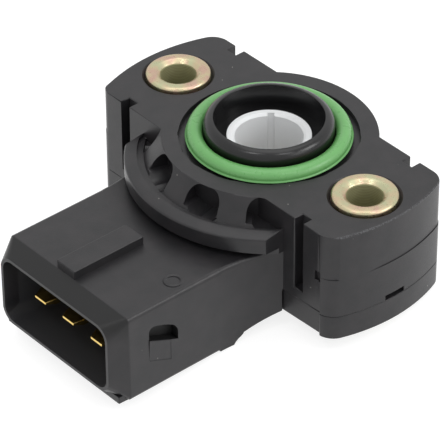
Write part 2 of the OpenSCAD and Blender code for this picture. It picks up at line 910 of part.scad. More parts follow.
module contact_inner() {
    color([0.85, 0.75, 0.45])
        finger_comb(collector_r);
}

// Track board and what is printed or soldered on it

module stud_places() {
    for (x = pin_x)
        translate([x, -stud_y(x), 0])
            children();
}

module track_board() {
    color([0.2, 0.42, 0.3])
        difference() {
            between(board_depth + seat_gap, board_depth + board_t)
                circle(r = board_r);
            between(board_depth - 1, board_depth + board_t + 1)
                circle(r = pivot_hole_r);
            stud_places()
                between(board_depth - 1, board_depth + board_t + 1)
                    circle(r = stud_r + seat_gap);
        }
}

module track(r) {
    between(board_depth + seat_gap - track_t, board_depth + seat_gap)
        sector(r - track_w / 2, r + track_w / 2, carrier_angle + travel / 2 + finger_lead,
               travel + 2 * track_over);
}

module resistive_track() {
    color([0.1, 0.1, 0.1])
        track(track_r);
}

module collector_track() {
    color([0.75, 0.75, 0.72])
        track(collector_r);
}

// Terminals

module terminal(x) {
    color([0.9, 0.8, 0.5])
        translate([x, 0, 0]) {
            terminal_run(0, leg_end);
            translate([-blade_w / 2, taper_len - blade_tip, -blade_depth - blade_t / 2])
                cube([blade_w, blade_tip - taper_len - socket_back, blade_t]);
            hull() {
                translate([-blade_w / 2, taper_len - blade_tip, -blade_depth - blade_t / 2])
                    cube([blade_w, 0.1, blade_t]);
                translate([-tip_w / 2, -blade_tip, -blade_depth - tip_t / 2])
                    cube([tip_w, 0.05, tip_t]);
            }
            translate([-tab_w / 2, -leg_end - 0.1, -leg_depth - blade_t / 2])
                cube([tab_w, leg_end + 0.1 + tab_w / 2 - stud_y(x), blade_t]);
        }
}

module terminal_left() {
    terminal(pin_x[0]);
}

module terminal_middle() {
    terminal(pin_x[1]);
}

module terminal_right() {
    terminal(pin_x[2]);
}

module solder_studs() {
    color([0.78, 0.79, 0.8])
        stud_places() {
            between(board_depth - 0.15, leg_depth - blade_t / 2)
                circle(r = stud_r);
        }
}

housing();
rear_cover();
cover_bead();
bush_left();
bush_right();
sealing_ring();
rotor();
thrust_washer();
spring_washer();
return_spring();
contact_carrier();
contact_outer();
contact_inner();
track_board();
resistive_track();
collector_track();
terminal_left();
terminal_middle();
terminal_right();
solder_studs();
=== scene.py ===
"""Looks of a throttle position sensor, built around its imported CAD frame.

Everything is in metres, in the CAD's own frame: the origin is on the rotor axis in the mounting
face, +Z points out of that face, +X runs along the fixing holes and -Y points to the connector.
"""

import json
import math

import bmesh
import bpy
import numpy as np
from bpy.props import FloatProperty, FloatVectorProperty, IntProperty, PointerProperty
from mathutils import Matrix, Vector


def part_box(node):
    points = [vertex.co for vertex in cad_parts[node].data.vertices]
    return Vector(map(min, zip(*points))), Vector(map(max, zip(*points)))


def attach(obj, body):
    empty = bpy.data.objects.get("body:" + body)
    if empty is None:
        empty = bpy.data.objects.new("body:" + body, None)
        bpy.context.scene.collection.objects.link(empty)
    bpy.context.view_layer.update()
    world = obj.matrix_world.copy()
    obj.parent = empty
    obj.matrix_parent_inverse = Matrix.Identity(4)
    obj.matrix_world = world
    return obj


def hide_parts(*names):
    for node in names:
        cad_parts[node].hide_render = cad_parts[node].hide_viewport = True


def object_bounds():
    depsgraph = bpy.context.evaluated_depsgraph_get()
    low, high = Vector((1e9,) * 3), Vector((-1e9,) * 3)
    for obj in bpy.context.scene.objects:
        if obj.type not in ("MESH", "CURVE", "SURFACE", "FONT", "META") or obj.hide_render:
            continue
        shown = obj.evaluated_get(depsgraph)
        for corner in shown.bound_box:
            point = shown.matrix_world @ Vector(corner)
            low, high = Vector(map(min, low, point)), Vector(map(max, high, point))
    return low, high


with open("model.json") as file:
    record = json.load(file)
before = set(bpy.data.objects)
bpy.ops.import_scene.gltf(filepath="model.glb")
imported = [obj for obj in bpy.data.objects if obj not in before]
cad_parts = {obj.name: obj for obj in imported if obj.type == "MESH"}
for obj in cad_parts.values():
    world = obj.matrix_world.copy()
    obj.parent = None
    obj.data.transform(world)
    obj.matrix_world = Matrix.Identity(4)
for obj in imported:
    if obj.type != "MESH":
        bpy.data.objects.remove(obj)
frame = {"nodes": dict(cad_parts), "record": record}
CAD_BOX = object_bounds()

bl_info = {
    "name": "Throttle position sensor",
    "version": (1, 0, 0),
    "blender": (4, 5, 0),
    "location": "3D View > Sidebar > Sensor",
    "description": "Dresses the packed sensor with rounded mouldings, turned bushes and finishes",
    "category": "Object",
}

MM = 0.001
NODES = frame["nodes"]
MOUNTS = {mount["name"]: mount for mount in frame["record"]["mounts"]}
FIXED = "sensor_body"
TURNING = "rotor_body"


# Colours and shader nodes


def linear(hex_colour):
    """sRGB hex colour as linear red, green, blue and alpha, by the sRGB transfer curve."""
    srgb = np.array([int(hex_colour[i : i + 2], 16) for i in (1, 3, 5)]) / 255
    low, high = srgb / 12.92, ((srgb + 0.055) / 1.055) ** 2.4
    return (*np.where(srgb <= 0.04045, low, high).tolist(), 1.0)


def per_mm(size):
    """Texture scale on Object coordinates for a pattern with features of a size in mm."""
    return 1 / (size * MM)


def add_node(tree, kind, links=None, values=None, **settings):
    """Adds one shader node, with its settings, its socket values and the links that feed it."""
    made = tree.nodes.new("ShaderNode" + kind)
    for name, value in settings.items():
        setattr(made, name, value)
    for socket, value in (values or {}).items():
        made.inputs[socket].default_value = value
    for socket, source in (links or {}).items():
        tree.links.new(source, made.inputs[socket])
    return made


def blank_finish(name, **constants):
    """New material: its node tree, its shader with the constants on its sockets, and the Object
    coordinates."""
    material = bpy.data.materials.new(name)
    material.use_nodes = True
    tree = material.node_tree
    shader = tree.nodes["Principled BSDF"]
    for socket, value in constants.items():
        shader.inputs[socket.replace("_", " ")].default_value = value
    place = add_node(tree, "TexCoord").outputs["Object"]
    return material, tree, shader, place


def link_finish(tree, shader, colour, roughness, height, depth_mm):
    """Feeds the shader with a colour, a roughness and the bump of a height of depth_mm."""
    bump = add_node(tree, "Bump", {"Height": height}, {"Strength": 1.0, "Distance": depth_mm * MM})
    for socket, source in (("Base Color", colour), ("Roughness", roughness),
                           ("Normal", bump.outputs["Normal"])):
        tree.links.new(source, shader.inputs[socket])


# Finishes


def span_mask(tree, value, limits_mm):
    """Mask that rises from 0 to 1 between the first two of four values in mm and falls back to 0
    between the last two."""
    first, second, third, fourth = (limit * MM for limit in limits_mm)
    rise = add_node(tree, "MapRange", {"Value": value}, {"From Min": first, "From Max": second})
    fall = add_node(tree, "MapRange", {"Value": value},
                    {"From Min": third, "From Max": fourth, "To Min": 1.0, "To Max": 0.0})
    return add_node(tree, "Math", {0: rise.outputs["Result"], 1: fall.outputs["Result"]},
                    operation="MULTIPLY").outputs[0]


def zone_mask(tree, place, reach=None, x=None, y=None, z=None):
    """Product of span masks over the distance from the Z axis, the distance from the plane x = 0,
    y and z, for those that are given."""
    parts = add_node(tree, "SeparateXYZ", {0: place})
    flat = add_node(tree, "CombineXYZ", {0: parts.outputs[0], 1: parts.outputs[1]})
    radius = add_node(tree, "VectorMath", {0: flat.outputs[0]}, operation="LENGTH")
    aside = add_node(tree, "Math", {0: parts.outputs[0]}, operation="ABSOLUTE")
    mask = None
    for value, limits in ((radius.outputs["Value"], reach), (aside.outputs[0], x),
                          (parts.outputs[1], y), (parts.outputs[2], z)):
        if limits:
            span = span_mask(tree, value, limits)
            mask = span if mask is None else add_node(
                tree, "Math", {0: mask, 1: span}, operation="MULTIPLY").outputs[0]
    return mask


def ring_mark(tree, place, centre_mm, radius_mm, width_mm):
    """Mask of a soft ring round a point: 1 on its line, falling to 0 at its width on each side."""
    apart = add_node(tree, "VectorMath", {0: place},
                     {1: tuple(value * MM for value in centre_mm)}, operation="DISTANCE")
    off = add_node(tree, "Math", {0: apart.outputs["Value"]}, {1: radius_mm * MM},
                   operation="SUBTRACT")
    off = add_node(tree, "Math", {0: off.outputs[0]}, operation="ABSOLUTE")
    return add_node(tree, "MapRange", {"Value": off.outputs[0]},
                    {"From Min": 0.0, "From Max": width_mm * MM, "To Min": 1.0, "To Max": 0.0},
                    interpolation_type="SMOOTHSTEP").outputs["Result"]


GATE_RADIUS, GATE_WIDTH, GATE_DEPTH = 0.95, 0.3, 7.0  # mm, mm and times the grain's height
DUST_SPACING, DUST_SIZE, DUST_SHARE = 1.3, 0.055, 0.1  # mm, share of the spacing, share of cells


def moulded_plastic(name, colour, haze, cloud_mm, grain_mm, grain_height_mm, rough, ior, dust=None,
                    zones=(), gate_mm=None):
    """Injection moulded plastic: a cloudy tone where the filler lies unevenly, a fine spark-eroded
    grain, and a few pale specks of dust or filler at the surface. Each zone gives limits, a
    colour, a roughness and how patchy it is; gate_mm is the place of a faint round mark."""
    material, tree, shader, place = blank_finish(name, IOR=ior, Specular_IOR_Level=0.36)
    cloud = add_node(tree, "TexNoise", {"Vector": place},
                     {"Scale": per_mm(cloud_mm), "Detail": 5.0, "Roughness": 0.62})
    spread = add_node(tree, "MapRange", {"Value": cloud.outputs["Fac"]},
                      {"From Min": 0.34, "From Max": 0.68})
    tone = add_node(tree, "Mix", {0: spread.outputs["Result"]}, {6: colour, 7: haze},
                    data_type="RGBA")
    surface = tone.outputs[2]
    grain = add_node(tree, "TexNoise", {"Vector": place},
                     {"Scale": per_mm(grain_mm), "Detail": 3.0, "Roughness": 0.7})
    if dust:
        cells = add_node(tree, "TexVoronoi", {"Vector": place}, {"Scale": per_mm(DUST_SPACING)})
        near = add_node(tree, "Math", {0: cells.outputs["Distance"]}, {1: DUST_SIZE},
                        operation="LESS_THAN")
        pick = add_node(tree, "SeparateColor", {"Color": cells.outputs["Color"]})
        few = add_node(tree, "Math", {0: pick.outputs["Red"]}, {1: 1 - DUST_SHARE},
                       operation="GREATER_THAN")
        speck = add_node(tree, "Math", {0: near.outputs[0], 1: few.outputs[0]},
                         operation="MULTIPLY")
        surface = add_node(tree, "Mix", {0: speck.outputs[0], 6: surface}, {7: dust},
                           data_type="RGBA").outputs[2]
    sheen = add_node(tree, "MapRange", {"Value": grain.outputs["Fac"]},
                     {"From Min": 0.3, "From Max": 0.7, "To Min": rough[0], "To Max": rough[1]})
    gloss, height = sheen.outputs["Result"], grain.outputs["Fac"]
    for limits, zone_colour, zone_rough, patchy in zones:
        mask = zone_mask(tree, place, **limits)
        # A patchy zone follows the grain; on the ears' upper edge it is partly wear, partly painted
        # highlight
        if patchy:
            wear_and_highlight = add_node(tree, "MapRange", {"Value": grain.outputs["Fac"]},
                            {"From Min": 0.46, "From Max": 0.6})
            mask = add_node(tree, "Math", {0: mask, 1: wear_and_highlight.outputs["Result"]},
                            operation="MULTIPLY").outputs[0]
        surface = add_node(tree, "Mix", {0: mask, 6: surface}, {7: zone_colour},
                           data_type="RGBA").outputs[2]
        gloss = add_node(tree, "Mix", {0: mask, 2: gloss}, {3: zone_rough}).outputs[0]
    if gate_mm:
        mark = ring_mark(tree, place, gate_mm, GATE_RADIUS, GATE_WIDTH)
        dent = add_node(tree, "Math", {0: mark}, {1: GATE_DEPTH}, operation="MULTIPLY")
        height = add_node(tree, "Math", {0: height, 1: dent.outputs[0]},
                          operation="SUBTRACT").outputs[0]
    link_finish(tree, shader, surface, gloss, height, grain_height_mm)
    return material


def moulded_rubber(name, colour, shade):
    """Moulded rubber, oiled for assembly: an even colour with a soft cloud and a glossy skin."""
    material, tree, shader, place = blank_finish(name, IOR=1.52)
    cloud = add_node(tree, "TexNoise", {"Vector": place},
                     {"Scale": per_mm(2.2), "Detail": 4.0, "Roughness": 0.6})
    tone = add_node(tree, "Mix", {0: cloud.outputs["Fac"]}, {6: colour, 7: shade},
                    data_type="RGBA")
    film = add_node(tree, "TexNoise", {"Vector": place}, {"Scale": per_mm(0.9), "Detail": 2.0})
    gloss = add_node(tree, "MapRange", {"Value": film.outputs["Fac"]},
                     {"From Min": 0.35, "From Max": 0.65, "To Min": 0.26, "To Max": 0.38})
    skin = add_node(tree, "TexNoise", {"Vector": place}, {"Scale": per_mm(0.8), "Detail": 1.0})
    link_finish(tree, shader, tone.outputs[2], gloss.outputs["Result"], skin.outputs["Fac"], 0.003)
    return material


TOOL_PITCH, BORE_TOOL_MM = 0.22, 2.2  # mm between the tool's rings; tool_mm is less in the bore


def turned_passivated_steel(name, gold, pink, green, brown):
    """Turned steel, zinc plated and yellow passivated: gold with pink and green interference
    tints, rings left by the tool, and a duller drilled bore in brown and green bands. The rings
    follow the piece's own attribute tool_mm."""
    material, tree, shader, place = blank_finish(name, Metallic=1.0)
    cloud = add_node(tree, "TexNoise", {"Vector": place},
                     {"Scale": per_mm(1.6), "Detail": 3.0, "Roughness": 0.55})
    tint = add_node(tree, "ValToRGB", {"Fac": cloud.outputs["Fac"]})
    ramp = tint.color_ramp
    ramp.elements[0].position, ramp.elements[0].color = 0.36, pink
    ramp.elements[1].position, ramp.elements[1].color = 0.66, green
    ramp.elements.new(0.5).color = gold
    turned = add_node(tree, "Attribute", attribute_name="tool_mm")
    rings = add_node(tree, "Math", {0: turned.outputs["Fac"]}, {1: 2 * math.pi / TOOL_PITCH},
                     operation="MULTIPLY")
    wave = add_node(tree, "Math", {0: rings.outputs[0]}, operation="SINE")
    rub = add_node(tree, "TexNoise", {"Vector": place}, {"Scale": per_mm(0.5), "Detail": 3.0})
    gloss = add_node(tree, "MapRange", {"Value": rub.outputs["Fac"]},
                     {"From Min": 0.3, "From Max": 0.7, "To Min": 0.24, "To Max": 0.4})
    bored = add_node(tree, "Math", {0: turned.outputs["Fac"]}, {1: BORE_TOOL_MM},
                     operation="LESS_THAN")
    bands = add_node(tree, "MapRange", {"Value": wave.outputs[0]},
                     {"From Min": -1.0, "From Max": 1.0, "To Min": 0.55, "To Max": 1.0})
    drilled = add_node(tree, "Mix", {0: bands.outputs["Result"]}, {6: brown, 7: green},
                       data_type="RGBA")
    tint = add_node(tree, "Mix", {0: bored.outputs[0], 6: tint.outputs["Color"],
                                  7: drilled.outputs[2]}, data_type="RGBA")
    gloss = add_node(tree, "Mix", {0: bored.outputs[0], 2: gloss.outputs["Result"]}, {3: 0.7})
    height = add_node(tree, "Math", {0: wave.outputs[0], 1: rub.outputs["Fac"]}, operation="ADD")
    link_finish(tree, shader, tint.outputs[2], gloss.outputs[0], height.outputs[0], 0.003)
    return material


def rolled_metal(name, colour, stain, rough, streak_mm=0.12, run_mm=4.0, grain_mm=0.0006):
    """Rolled strip: fine streaks along Y, the rolling direction, and faint stains."""
    material, tree, shader, place = blank_finish(name, Metallic=1.0)
    stretch = add_node(tree, "Mapping", {"Vector": place},
                       {"Scale": (per_mm(streak_mm), per_mm(run_mm), per_mm(streak_mm))})
    streaks = add_node(tree, "TexNoise", {"Vector": stretch.outputs["Vector"]},
                       {"Scale": 1.0, "Detail": 3.0})
    cloud = add_node(tree, "TexNoise", {"Vector": place}, {"Scale": per_mm(1.5), "Detail": 3.0})
    tone = add_node(tree, "Mix", {0: cloud.outputs["Fac"]}, {6: colour, 7: stain},
                    data_type="RGBA")
    gloss = add_node(tree, "MapRange", {"Value": streaks.outputs["Fac"]},
                     {"From Min": 0.3, "From Max": 0.7, "To Min": rough[0], "To Max": rough[1]})
    link_finish(tree, shader, tone.outputs[2], gloss.outputs["Result"], streaks.outputs["Fac"],
                grain_mm)
    return material


FAR = 100.0


def over(start, full):
    """Limits in mm of a zone that begins at start and is whole from full on."""
    return start, full, FAR, FAR + 1


def under(full, end):
    """Limits in mm of a zone that is whole up to full and gone at end."""
    return -FAR - 1, -FAR, full, end


# Zones of the housing: limits in mm, colour, roughness, and whether it is patchy
HOUSING_ZONES = (
    # Polished collar
    ({"reach": under(7.7, 7.75), "z": over(-2.6, -2.5)}, linear("#161617"), 0.2, False),
    # Collar's outer wall, darker: painted shade standing in for its dark reflection of the groove
    ({"reach": (7.0, 7.2, 7.7, 7.75), "z": (-2.6, -2.5, 1.5, 2.0)},
     linear("#070707"), 0.3, False),
    # Upper face of the tapered rim, darker than the connector's top: painted shade
    ({"y": under(-29.9, -29.8), "z": over(-8.5, -6.7)}, linear("#0c0c0d"), 0.34, False),
    # Socket's inside, paler than the housing: painted light
    ({"x": under(8.7, 8.75), "y": under(-18.5, -18.4), "z": (-15.4, -15.3, -7, -6.9)},
     linear("#303032"), 0.45, False),
    # Clip recesses, darker inside: painted shade
    ({"x": (9.1, 9.2, 10.3, 10.35), "y": (-27.2, -27.1, -22.7, -22.6),
      "z": (-12.6, -12.5, -8, -7.9)}, linear("#0a0a0a"), 0.6, False),
    # Paler patchy band on the ears' upper edge: partly wear, partly painted highlight
    ({"reach": over(21.2, 21.33), "z": over(-0.22, -0.14)}, linear("#57575a"), 0.4, True),
)
# Painted shade that greys the rotor's bore with its depth
ROTOR_ZONES = (
    ({"reach": under(4.4, 4.5), "z": (-9, -8.9, -5.2, -0.5)}, linear("#d3d3d2"), 0.45, False),
)
GATE_MARK = (8.36, -21.68, -5.5)  # middle of the round mark on the connector, in mm
FINISHES = {}


def finish(slot):
    """Finish of a material slot of the record, made the first time that it is asked for."""
    if slot in FINISHES:
        return FINISHES[slot]
    colours = bpy.context.scene.sensor_colours
    tone = {key: (*getattr(colours, key), 1.0) for key in colours.bl_rna.properties.keys()
            if key not in ("rna_type", "name")}
    # Plastics: cloud, grain and height of the grain in mm, span of roughness, refractive index
    makers = {
        # Glass-filled PBT, spark-eroded mould: satin black with a warm haze
        "housing_plastic": lambda: moulded_plastic(
            "Glass-filled PBT, moulded satin", tone["plastic"], tone["plastic_haze"],
            2.6, 0.16, 0.012, (0.3, 0.42), 1.55, linear("#8f8c88"), HOUSING_ZONES, GATE_MARK),
        # The cover's PBT has less filler, so it is a shade darker and smoother
        "cover_plastic": lambda: moulded_plastic(
            "PBT cover, moulded satin", tone["cover"], tone["plastic_haze"],
            2.0, 0.2, 0.01, (0.3, 0.4), 1.55, linear("#8f8c88")),
        # Poured epoxy, cured: dark grey, slightly wavy and glossy
        "sealing_compound": lambda: moulded_plastic(
            "Epoxy sealing bead, cured", linear("#4a4a4c"), linear("#3a3a3c"),
            1.0, 0.6, 0.02, (0.2, 0.3), 1.5),
        # Yellow passivated zinc on turned steel
        "passivated_steel": lambda: turned_passivated_steel(
            "Turned steel, yellow passivated", tone["bush_gold"], tone["bush_pink"],
            tone["bush_green"], linear("#7d6c44")),
        # Green silicone or nitrile ring, moulded and lightly greased
        "green_rubber": lambda: moulded_rubber(
            "Green rubber, moulded and greased", tone["rubber"], tone["rubber_shade"]),
        # Natural acetal: cool white, half matt, with painted shade greying the bore
        "white_plastic": lambda: moulded_plastic(
            "Natural acetal, moulded", tone["white"], tone["white_shade"],
            1.8, 0.25, 0.004, (0.32, 0.42), 1.48, zones=ROTOR_ZONES),
        # Nylon washer, punched from sheet
        "washer_plastic": lambda: moulded_plastic(
            "Natural nylon sheet, punched", linear("#cfc8b2"), linear("#c2b99f"),
            1.5, 0.3, 0.004, (0.35, 0.45), 1.53),
        # Hardened spring strip, bright rolled
        "spring_steel": lambda: rolled_metal(
            "Spring steel strip, bright rolled", linear("#a9abae"), linear("#8f9196"),
            (0.22, 0.36)),
        # Black PPS carrier
        "carrier_plastic": lambda: moulded_plastic(
            "PPS contact carrier, moulded", linear("#2a2a2c"), linear("#343336"),
            1.2, 0.2, 0.008, (0.4, 0.52), 1.6),
        # Precious-metal contact alloy, pale gold
        "contact_alloy": lambda: rolled_metal(
            "Silver-palladium contact strip", linear("#e2d6b4"), linear("#cdbd92"),
            (0.18, 0.3)),
        # Glass-epoxy board, faintly clouded
        "board_laminate": lambda: moulded_plastic(
            "Glass-epoxy laminate", linear("#3f6a4a"), linear("#55805a"),
            0.5, 0.35, 0.006, (0.25, 0.35), 1.5),
        # Screen-printed carbon track
        "carbon_ink": lambda: moulded_plastic(
            "Carbon ink, screen printed", linear("#1c1c1d"), linear("#262627"),
            0.7, 0.12, 0.006, (0.35, 0.5), 1.6),
        # Screen-printed silver track
        "silver_ink": lambda: rolled_metal(
            "Silver ink, screen printed", linear("#c9c9c4"), linear("#b2b2aa"), (0.35, 0.5)),
        # Gold-flashed brass blades
        "terminal_brass": lambda: rolled_metal(
            "Gold-flashed brass strip, stamped", tone["blade"], tone["blade_stain"],
            (0.06, 0.1), grain_mm=0.0001),
        # Tin solder, frozen with a slight ripple
        "solder": lambda: rolled_metal(
            "Tin solder, reflowed", linear("#c4c6c8"), linear("#aeb0b2"), (0.25, 0.4),
            streak_mm=0.4, run_mm=0.4),
    }
    FINISHES[slot] = makers[slot]()
    return FINISHES[slot]


# Meshes


def grid_faces(rows, columns, wrap_rows, wrap_columns):
    """Four-cornered faces of a grid of points: each joins a point to its next neighbours along
    the row and the column, and a wrapped side joins its last line to its first."""
    row, column = np.meshgrid(np.arange(rows - (not wrap_rows)),
                              np.arange(columns - (not wrap_columns)), indexing="ij")
    next_row, next_column = (row + 1) % rows, (column + 1) % columns
    corners = [row * columns + column, next_row * columns + column,
               next_row * columns + next_column, row * columns + next_column]
    return np.stack(corners, axis=-1).reshape(-1, 4)


def outward(points, faces):
    """Faces of a closed surface, turned over if its volume, the sum of the wedges from the origin
    to each face's diagonal halves, comes out negative."""
    a, b, c, d = (points[faces[:, i]] for i in range(4))
    wedges = np.einsum("ij,ij->i", a, np.cross(b, c)) + np.einsum("ij,ij->i", a, np.cross(c, d))
    return faces[:, ::-1] if wedges.sum() < 0 else faces


def eased_profile(corners, radii, steps=6):
    """Closed profile with round corners. Each corner P is replaced by the curve
    (1-t)^2 A + 2t(1-t) P + t^2 B, where A and B lie a radius away from P on its two sides."""
    corners, radii = np.array(corners, float), np.array(radii, float)[:, None]
    before, after = np.roll(corners, 1, axis=0) - corners, np.roll(corners, -1, axis=0) - corners
    a = corners + before / np.linalg.norm(before, axis=1, keepdims=True) * radii
    b = corners + after / np.linalg.norm(after, axis=1, keepdims=True) * radii
    t = np.linspace(0, 1, steps)[None, :, None]
    curve = (1 - t) ** 2 * a[:, None] + 2 * t * (1 - t) * corners[:, None] + t**2 * b[:, None]
    return curve.reshape(-1, 2)


def turned_points(profile, centre, steps):
    """Turned surface: a profile point (r, z) goes to (cx + r cos a, cy + r sin a, z) for each
    angle a round the axis."""
    angle = np.linspace(0, 2 * math.pi, steps, endpoint=False)[:, None]
    radius, height = profile[None, :, 0], profile[None, :, 1]
    points = np.stack([centre[0] + radius * np.cos(angle), centre[1] + radius * np.sin(angle),
                       np.broadcast_to(height, (steps, len(profile)))], axis=-1)
    return points.reshape(-1, 3)


def add_piece(name, mesh, slot, body, smooth_angle):
    """Object of a finished mesh: shaded smooth but for its sharp edges, riding on its body."""
    mesh.shade_smooth()
    mesh.set_sharp_from_angle(angle=math.radians(smooth_angle))
    mesh.materials.clear()
    mesh.materials.append(finish(slot))
    piece = bpy.data.objects.new(name, mesh)
    bpy.context.scene.collection.objects.link(piece)
    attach(piece, body)
    return piece


def surface_piece(name, points, faces, slot, body, smooth_angle=40):
    """Piece from whole arrays of points and faces."""
    mesh = bpy.data.meshes.new(name)
    mesh.from_pydata(points.tolist(), [], faces.tolist())
    return add_piece(name, mesh, slot, body, smooth_angle)


def values_of(items, key, width=1, kind=float):
    """One property of all the items as an array, with a row of width values for each item."""
    values = np.zeros(len(items) * width, kind)
    items.foreach_get(key, values)
    return values if width == 1 else values.reshape(-1, width)


def edge_weights(mesh, width, sharp_angle):
    """Bevel weight of each edge: 1 where it stands out, the angle between its two faces, the arc
    cosine of the product of their normals, is over the sharp angle and both faces are broader
    than twice the bevel. A face's breadth is twice its area over its perimeter, as in a long
    strip, and the edge stands out where the second face's middle lies below the first face."""
    place = values_of(mesh.vertices, "co", 3)
    ends = values_of(mesh.edges, "vertices", 2, int)
    loop_edge = values_of(mesh.loops, "edge_index", kind=int)
    normal = values_of(mesh.polygons, "normal", 3)
    middle = values_of(mesh.polygons, "center", 3)
    area = values_of(mesh.polygons, "area")
    count = values_of(mesh.polygons, "loop_total", kind=int)
    length = np.linalg.norm(place[ends[:, 0]] - place[ends[:, 1]], axis=1)
    starts = np.concatenate([[0], np.cumsum(count)[:-1]])
    breadth = 2 * area / np.add.reduceat(length[loop_edge], starts)
    owner = np.repeat(np.arange(len(count)), count)[np.argsort(loop_edge, kind="stable")]
    first, second = owner[0::2], owner[1::2]
    cosine = np.einsum("ij,ij->i", normal[first], normal[second])
    sharp = cosine < math.cos(sharp_angle)
    broad = np.minimum(breadth[first], breadth[second]) > 2 * width
    outer = np.einsum("ij,ij->i", normal[first], middle[second] - middle[first]) < 0
    return (sharp & broad & outer).astype(np.float32)


def eased_copy(node, name, slot, body, width_mm, segments=2, smooth_angle=28, reshape=None,
               broader=None):
    """Copy of a CAD surface with its loose triangles merged, its flat faces made whole and a
    bevel of the width given on every sharp edge that has room for it. reshape moves the points
    first, and broader gives the share by which an edge's bevel is wider, from its two ends."""
    shape = bmesh.new()
    shape.from_mesh(NODES[node].data)
    bmesh.ops.remove_doubles(shape, verts=shape.verts, dist=0.002 * MM)
    bmesh.ops.dissolve_limit(shape, angle_limit=math.radians(0.3), verts=shape.verts,
                             edges=shape.edges)
    mesh = bpy.data.meshes.new(name)
    shape.to_mesh(mesh)
    shape.free()
    stale = mesh.attributes.get("custom_normal")
    if stale:
        mesh.attributes.remove(stale)
    place = values_of(mesh.vertices, "co", 3) / MM
    ends = values_of(mesh.edges, "vertices", 2, int)
    if reshape:
        place = reshape(place)
        mesh.vertices.foreach_set("co", (place * MM).ravel())
        mesh.update()
    weights = edge_weights(mesh, width_mm * MM, math.radians(smooth_angle))
    share = np.ones(len(weights))
    if broader:
        share = broader(place[ends[:, 0]], place[ends[:, 1]])
    weights = (weights * share / share.max()).astype(np.float32)
    mesh.attributes.new("bevel_weight_edge", "FLOAT", "EDGE").data.foreach_set("value", weights)
    piece = add_piece(name, mesh, slot, body, smooth_angle)
    bevel = piece.modifiers.new("Eased edges", "BEVEL")
    bevel.width = width_mm * share.max() * MM
    bevel.segments = segments
    bevel.limit_method = "WEIGHT"
    bevel.use_clamp_overlap = False
    bevel.harden_normals = True
    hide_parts(node)


# Forms of the moulding that are finer than the CAD's


def turned_place(place, chosen, radius, height, angle=None):
    """Puts the chosen points at a radius and height, each at its own or a new angle round Z."""
    angle = np.arctan2(place[:, 1], place[:, 0]) if angle is None else angle
    place[chosen, 0] = (radius * np.cos(angle))[chosen]
    place[chosen, 1] = (radius * np.sin(angle))[chosen]
    place[chosen, 2] = height[chosen]


def flat_ended(place, before, edge):
    """Puts points that lay on the planes x = +edge or -edge back on them, along Y."""
    ended = np.abs(np.abs(before[:, 0]) - edge) < 0.02
    reach = np.hypot(place[:, 0], place[:, 1])
    place[ended, 0] = before[ended, 0]
    place[ended, 1] = -np.sqrt(np.maximum(reach**2 - before[:, 0] ** 2, 0))[ended]


def fine_ring(place):
    """Ring in front, in mm: its round edge r = 15.7 + 1.1 cos a, z = -3.55 + 1.1 sin a becomes a
    sloping band with a crisp edge of 0.3 mm radius, and the gutter behind it is wider."""
    before = place.copy()
    radius, z = np.hypot(place[:, 0], place[:, 1]), place[:, 2]
    front = (place[:, 1] < -8.75) & (np.abs(place[:, 0]) < 12.32)
    a = np.degrees(np.arctan2(z + 3.55, radius - 15.7))
    edge = front & (radius > 15.66) & (z > -3.56) & (z < -2.44)
    turns = [0, 15, 30, 45, 60, 75, 90]
    new_radius = np.interp(a, turns, [16.8, 16.79, 16.759, 16.711, 16.648, 16.575, 15.5])
    new_height = np.interp(a, turns, [-3.03, -2.952, -2.879, -2.816, -2.769, -2.74, -2.45])
    turned_place(place, edge, new_radius, new_height)
    gutter = front & (np.abs(radius - 15.0) < 0.06) & (z > -2.85) & (z < -2.4)
    turned_place(place, gutter, radius + 0.3, z)
    moved = edge | gutter
    flat_ended(place, np.where(moved[:, None], before, 0), 12.3)
    return place


def fine_hollows(place):
    """Hollows in the sloping wall, in mm: turned by -1.8 degrees and drawn out in height, from
    -0.2 ... -2.3 to -0.04 ... -2.5, with the points on the wall kept on its cone
    r = 12.45 + 2.05 (-z / 2.8)."""
    radius, y, z = np.hypot(place[:, 0], place[:, 1]), place[:, 1], place[:, 2]
    inside = (radius > 11.6) & (radius < 14.55) & (z > -2.35) & (z < -0.15) & (y < -8.65)
    free = inside & (y < -8.75)
    height = -0.04 + (z + 0.2) * (2.5 - 0.04) / (2.3 - 0.2)
    slope = 2.05 / 2.8
    on_wall = np.abs(radius - 12.45 + slope * z) < 0.04
    new_radius = radius + np.where(on_wall, slope * (z - height), 0)
    angle = np.arctan2(y, place[:, 0]) - math.radians(1.8)
    turned_place(place, free, new_radius, height, angle)
    place[free, 1] = np.minimum(place[free, 1], -8.72)
    place[inside & ~free, 2] = height[inside & ~free]
    return place


def fine_collar(place):
    """Collar, in mm: its rim's outer quarter round about (6.85, 1.7), with a radius of 0.75, goes
    about (6.5, 1.3) with a radius of 1.1, and its bore closes in from 6.53 to 6.43."""
    radius, z = np.hypot(place[:, 0], place[:, 1]), place[:, 2]
    a = np.arctan2(z - 1.7, radius - 6.85)
    edge = (radius > 6.83) & (radius < 7.65) & (z > 1.68)
    turned_place(place, edge, 6.5 + 1.1 * np.cos(a), 1.3 + 1.1 * np.sin(a))
    rim = (np.abs(radius - 6.65) < 0.03) & (z > 2.4)
    turned_place(place, rim, np.full_like(radius, 6.47), z - 0.055)
    bore = (np.abs(radius - 6.53) < 0.02) & (z > -0.8) & (z < 2.4)
    turned_place(place, bore, radius - 0.1, z)
    return place


def fine_groove(place):
    """Seal groove, in mm: its wall comes nearer to the seal in front, by 0.6 mm times the cube of
    the cosine of the angle from there, which is 0 behind."""
    radius, z = np.hypot(place[:, 0], place[:, 1]), place[:, 2]
    angle = np.arctan2(place[:, 1], place[:, 0])
    nearer = 0.6 * np.maximum(np.cos(angle + math.radians(40)), 0) ** 3
    wall = (np.abs(radius - 10.5) < 0.03) & (z > -0.75)
    turned_place(place, wall, radius - nearer, z)
    return place


